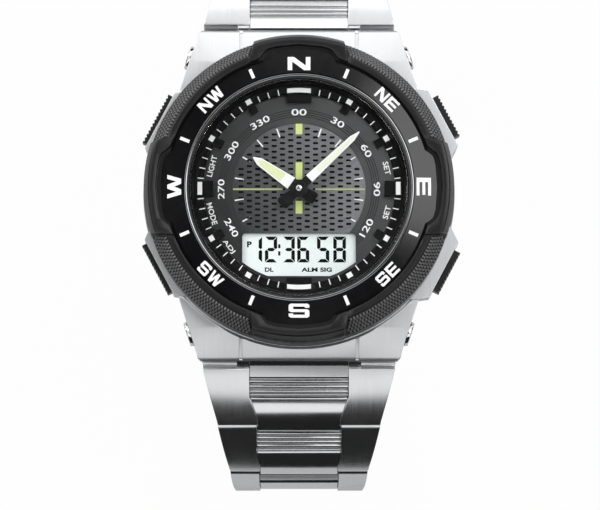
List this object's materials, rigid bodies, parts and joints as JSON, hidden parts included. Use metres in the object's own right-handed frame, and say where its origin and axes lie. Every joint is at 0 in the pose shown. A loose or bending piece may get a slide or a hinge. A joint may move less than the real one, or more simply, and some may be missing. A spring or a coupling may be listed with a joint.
{
  "type": "sports watch",
  "caption": "Sports watch with a turning compass bezel, hands over a number display, side pushers, and a steel link bracelet closed by a folding clasp.",
  "frame": {"origin": "middle of the case back's outer face, which rests on the wrist", "axes": "+Z out of the dial, +Y to 12 o'clock, +X to 3 o'clock"},
  "size_m": [0.0484, 0.0872, 0.0559],
  "materials": {
    "steel": "satin brushed",
    "hard_steel": "bright",
    "black_resin": "fine matte with a diamond texture on the slope",
    "gloss_black": "glossy with pale printed letters",
    "glass": "clear",
    "rubber": "matte",
    "dial_black": "matte print",
    "lcd": "pale grey green",
    "movement_plastic": "moulded",
    "board_green": "solder mask",
    "brass": "bright",
    "hands": "white and lume"
  },
  "bodies": {
    "case": {"case_middle": "steel", "case_back": "steel", "case_back_gasket": "rubber", "case_back_screws": "hard_steel", "crystal": "glass", "crystal_gasket": "rubber", "chapter_ring": "dial_black", "dial": "dial_black", "lcd_panel": "lcd", "movement_holder": "movement_plastic", "circuit_board": "board_green", "battery": "hard_steel", "battery_clip": "hard_steel", "motor_coil": "brass", "lug_bars": "hard_steel", "flank_screws": "steel", "bezel_spring": "hard_steel"},
    "bezel": {"bezel_ring": "black_resin", "compass_insert": "gloss_black"},
    "minute_hand": {"minute_hand": "hands", "cannon_pinion": "brass"},
    "hour_hand": {"hour_hand": "hands", "hour_wheel": "brass"},
    "minute_wheel": {"minute_wheel": "brass"},
    "pusher_2h": {"pusher_2h": "black_resin"},
    "pusher_4h": {"pusher_4h": "black_resin"},
    "pusher_8h": {"pusher_8h": "black_resin"},
    "pusher_10h": {"pusher_10h": "black_resin"},
    "link_12h_1": {"link_12h_1_sides": "steel", "link_12h_1_centre": "steel"},
    "link_12h_2": {"link_12h_2_sides": "steel", "link_12h_2_centre": "steel"},
    "link_12h_3": {"link_12h_3_sides": "steel", "link_12h_3_centre": "steel"},
    "link_12h_4": {"link_12h_4_sides": "steel", "link_12h_4_centre": "steel"},
    "link_12h_5": {"link_12h_5_sides": "steel", "link_12h_5_centre": "steel"},
    "link_12h_6": {"link_12h_6_sides": "steel", "link_12h_6_centre": "steel"},
    "link_12h_7": {"link_12h_7_sides": "steel", "link_12h_7_centre": "steel"},
    "link_6h_1": {"link_6h_1_sides": "steel", "link_6h_1_centre": "steel"},
    "link_6h_2": {"link_6h_2_sides": "steel", "link_6h_2_centre": "steel"},
    "link_6h_3": {"link_6h_3_sides": "steel", "link_6h_3_centre": "steel"},
    "link_6h_4": {"link_6h_4_sides": "steel", "link_6h_4_centre": "steel"},
    "link_6h_5": {"link_6h_5_sides": "steel", "link_6h_5_centre": "steel"},
    "link_6h_6": {"link_6h_6_sides": "steel", "link_6h_6_centre": "steel"},
    "link_6h_7": {"link_6h_7_sides": "steel", "link_6h_7_centre": "steel"},
    "base_blade": {"base_blade": "steel"},
    "middle_blade": {"middle_blade": "steel"},
    "clasp_cover": {"clasp_cover": "steel"},
    "safety_latch": {"safety_latch": "steel"}
  },
  "joints": [
    {"name": "bezel_turn", "type": "hinge", "parent": "case", "child": "bezel", "pos_m": [0, 0, 0.008], "axis": [0, 0, 1], "continuous": true},
    {"name": "minute_turn", "type": "hinge", "parent": "case", "child": "minute_hand", "pos_m": [0, 0, 0.01], "axis": [0, 0, 1], "continuous": true},
    {"name": "hour_turn", "type": "hinge", "parent": "case", "child": "hour_hand", "pos_m": [0, 0, 0.0095], "axis": [0, 0, 1], "continuous": true},
    {"name": "minute_wheel_turn", "type": "hinge", "parent": "case", "child": "minute_wheel", "pos_m": [0, 0.0024, 0.007], "axis": [0, 0, 1], "continuous": true},
    {"name": "push_2h", "type": "slide", "parent": "case", "child": "pusher_2h", "axis": [-0.8829, -0.4695, 0], "range_m": [0, 0.0007], "stiffness_N_per_m": 1500, "springref_m": -0.0005},
    {"name": "push_4h", "type": "slide", "parent": "case", "child": "pusher_4h", "axis": [-0.8829, 0.4695, 0], "range_m": [0, 0.0007], "stiffness_N_per_m": 1500, "springref_m": -0.0005},
    {"name": "push_8h", "type": "slide", "parent": "case", "child": "pusher_8h", "axis": [0.8829, 0.4695, 0], "range_m": [0, 0.0007], "stiffness_N_per_m": 1500, "springref_m": -0.0005},
    {"name": "push_10h", "type": "slide", "parent": "case", "child": "pusher_10h", "axis": [0.8829, -0.4695, 0], "range_m": [0, 0.0007], "stiffness_N_per_m": 1500, "springref_m": -0.0005},
    {"name": "link_12h_1_turn", "type": "hinge", "parent": "case", "child": "link_12h_1", "pos_m": [0, 0.02475, 0.0015], "axis": [1, 0, 0], "range_deg": [0, 22]},
    {"name": "link_12h_2_turn", "type": "hinge", "parent": "link_12h_1", "child": "link_12h_2", "pos_m": [0, 0.03471, -0.00213], "axis": [1, 0, 0], "range_deg": [0, 29]},
    {"name": "link_12h_3_turn", "type": "hinge", "parent": "link_12h_2", "child": "link_12h_3", "pos_m": [0, 0.04068, -0.00831], "axis": [1, 0, 0], "range_deg": [0, 37]},
    {"name": "link_12h_4_turn", "type": "hinge", "parent": "link_12h_3", "child": "link_12h_4", "pos_m": [0, 0.04218, -0.01678], "axis": [1, 0, 0], "range_deg": [0, 21]},
    {"name": "link_12h_5_turn", "type": "hinge", "parent": "link_12h_4", "child": "link_12h_5", "pos_m": [0, 0.04098, -0.0253], "axis": [1, 0, 0], "range_deg": [0, 27]},
    {"name": "link_12h_6_turn", "type": "hinge", "parent": "link_12h_5", "child": "link_12h_6", "pos_m": [0, 0.03642, -0.03259], "axis": [1, 0, 0], "range_deg": [0, 29]},
    {"name": "link_12h_7_turn", "type": "hinge", "parent": "link_12h_6", "child": "link_12h_7", "pos_m": [0, 0.02913, -0.03715], "axis": [1, 0, 0], "range_deg": [0, 27]},
    {"name": "link_6h_1_turn", "type": "hinge", "parent": "case", "child": "link_6h_1", "pos_m": [0, -0.02475, 0.0015], "axis": [-1, 0, 0], "range_deg": [0, 22]},
    {"name": "link_6h_2_turn", "type": "hinge", "parent": "link_6h_1", "child": "link_6h_2", "pos_m": [0, -0.03471, -0.00213], "axis": [-1, 0, 0], "range_deg": [0, 29]},
    {"name": "link_6h_3_turn", "type": "hinge", "parent": "link_6h_2", "child": "link_6h_3", "pos_m": [0, -0.04068, -0.00831], "axis": [-1, 0, 0], "range_deg": [0, 37]},
    {"name": "link_6h_4_turn", "type": "hinge", "parent": "link_6h_3", "child": "link_6h_4", "pos_m": [0, -0.04218, -0.01678], "axis": [-1, 0, 0], "range_deg": [0, 21]},
    {"name": "link_6h_5_turn", "type": "hinge", "parent": "link_6h_4", "child": "link_6h_5", "pos_m": [0, -0.04098, -0.0253], "axis": [-1, 0, 0], "range_deg": [0, 27]},
    {"name": "link_6h_6_turn", "type": "hinge", "parent": "link_6h_5", "child": "link_6h_6", "pos_m": [0, -0.03642, -0.03259], "axis": [-1, 0, 0], "range_deg": [0, 29]},
    {"name": "link_6h_7_turn", "type": "hinge", "parent": "link_6h_6", "child": "link_6h_7", "pos_m": [0, -0.02913, -0.03715], "axis": [-1, 0, 0], "range_deg": [0, 27]},
    {"name": "base_blade_turn", "type": "hinge", "parent": "link_6h_7", "child": "base_blade", "pos_m": [0, -0.02061, -0.03834], "axis": [-1, 0, 0], "range_deg": [0, 25]},
    {"name": "clasp_fold", "type": "hinge", "parent": "base_blade", "child": "middle_blade", "pos_m": [0, 0.0135, -0.03859], "axis": [1, 0, 0], "range_deg": [0, 155]},
    {"name": "cover_turn", "type": "hinge", "parent": "middle_blade", "child": "clasp_cover", "pos_m": [0, -0.0145, -0.03944], "axis": [1, 0, 0], "range_deg": [-155, 0]},
    {"name": "latch_turn", "type": "hinge", "parent": "clasp_cover", "child": "safety_latch", "pos_m": [0, -0.00991, -0.04237], "axis": [1, 0, 0], "range_deg": [0, 110]}
  ],
  "couplings": [
    {"joint": "hour_turn", "follows": "minute_turn", "ratio": 0.083333},
    {"joint": "minute_wheel_turn", "follows": "minute_turn", "ratio": -0.33333},
    {"joint": "cover_turn", "follows": "clasp_fold", "ratio": -1}
  ]
}
